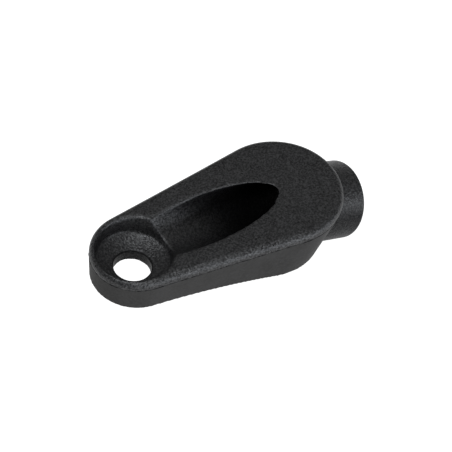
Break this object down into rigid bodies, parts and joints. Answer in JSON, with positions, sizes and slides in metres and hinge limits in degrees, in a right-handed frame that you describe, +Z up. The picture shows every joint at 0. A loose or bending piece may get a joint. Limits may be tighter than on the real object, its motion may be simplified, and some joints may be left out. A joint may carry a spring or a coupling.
{
  "type": "angled line exit",
  "caption": "Teardrop fitting with a sunk screw seat at its narrow end and an open slot that runs down into a short tubular spigot, to lead a line through a surface at a low angle.",
  "frame": {"origin": "centre of the fixing hole, in the flat base that lies against the deck or spar", "axes": "+Z up, away from the deck, along the fixing hole; +X from the fixing hole towards the spigot"},
  "size_m": [0.0468, 0.021, 0.0153],
  "materials": {
    "textured_nylon": "black glass-filled nylon with a fine spark-eroded grain",
    "satin_nylon": "black glass-filled nylon, smooth satin",
    "spigot_nylon": "black glass-filled nylon, fine grain above and smooth satin below"
  },
  "bodies": {
    "root": {"top_cover": "textured_nylon", "lower_shell": "satin_nylon", "spigot_tube": "spigot_nylon"}
  },
  "joints": []
}
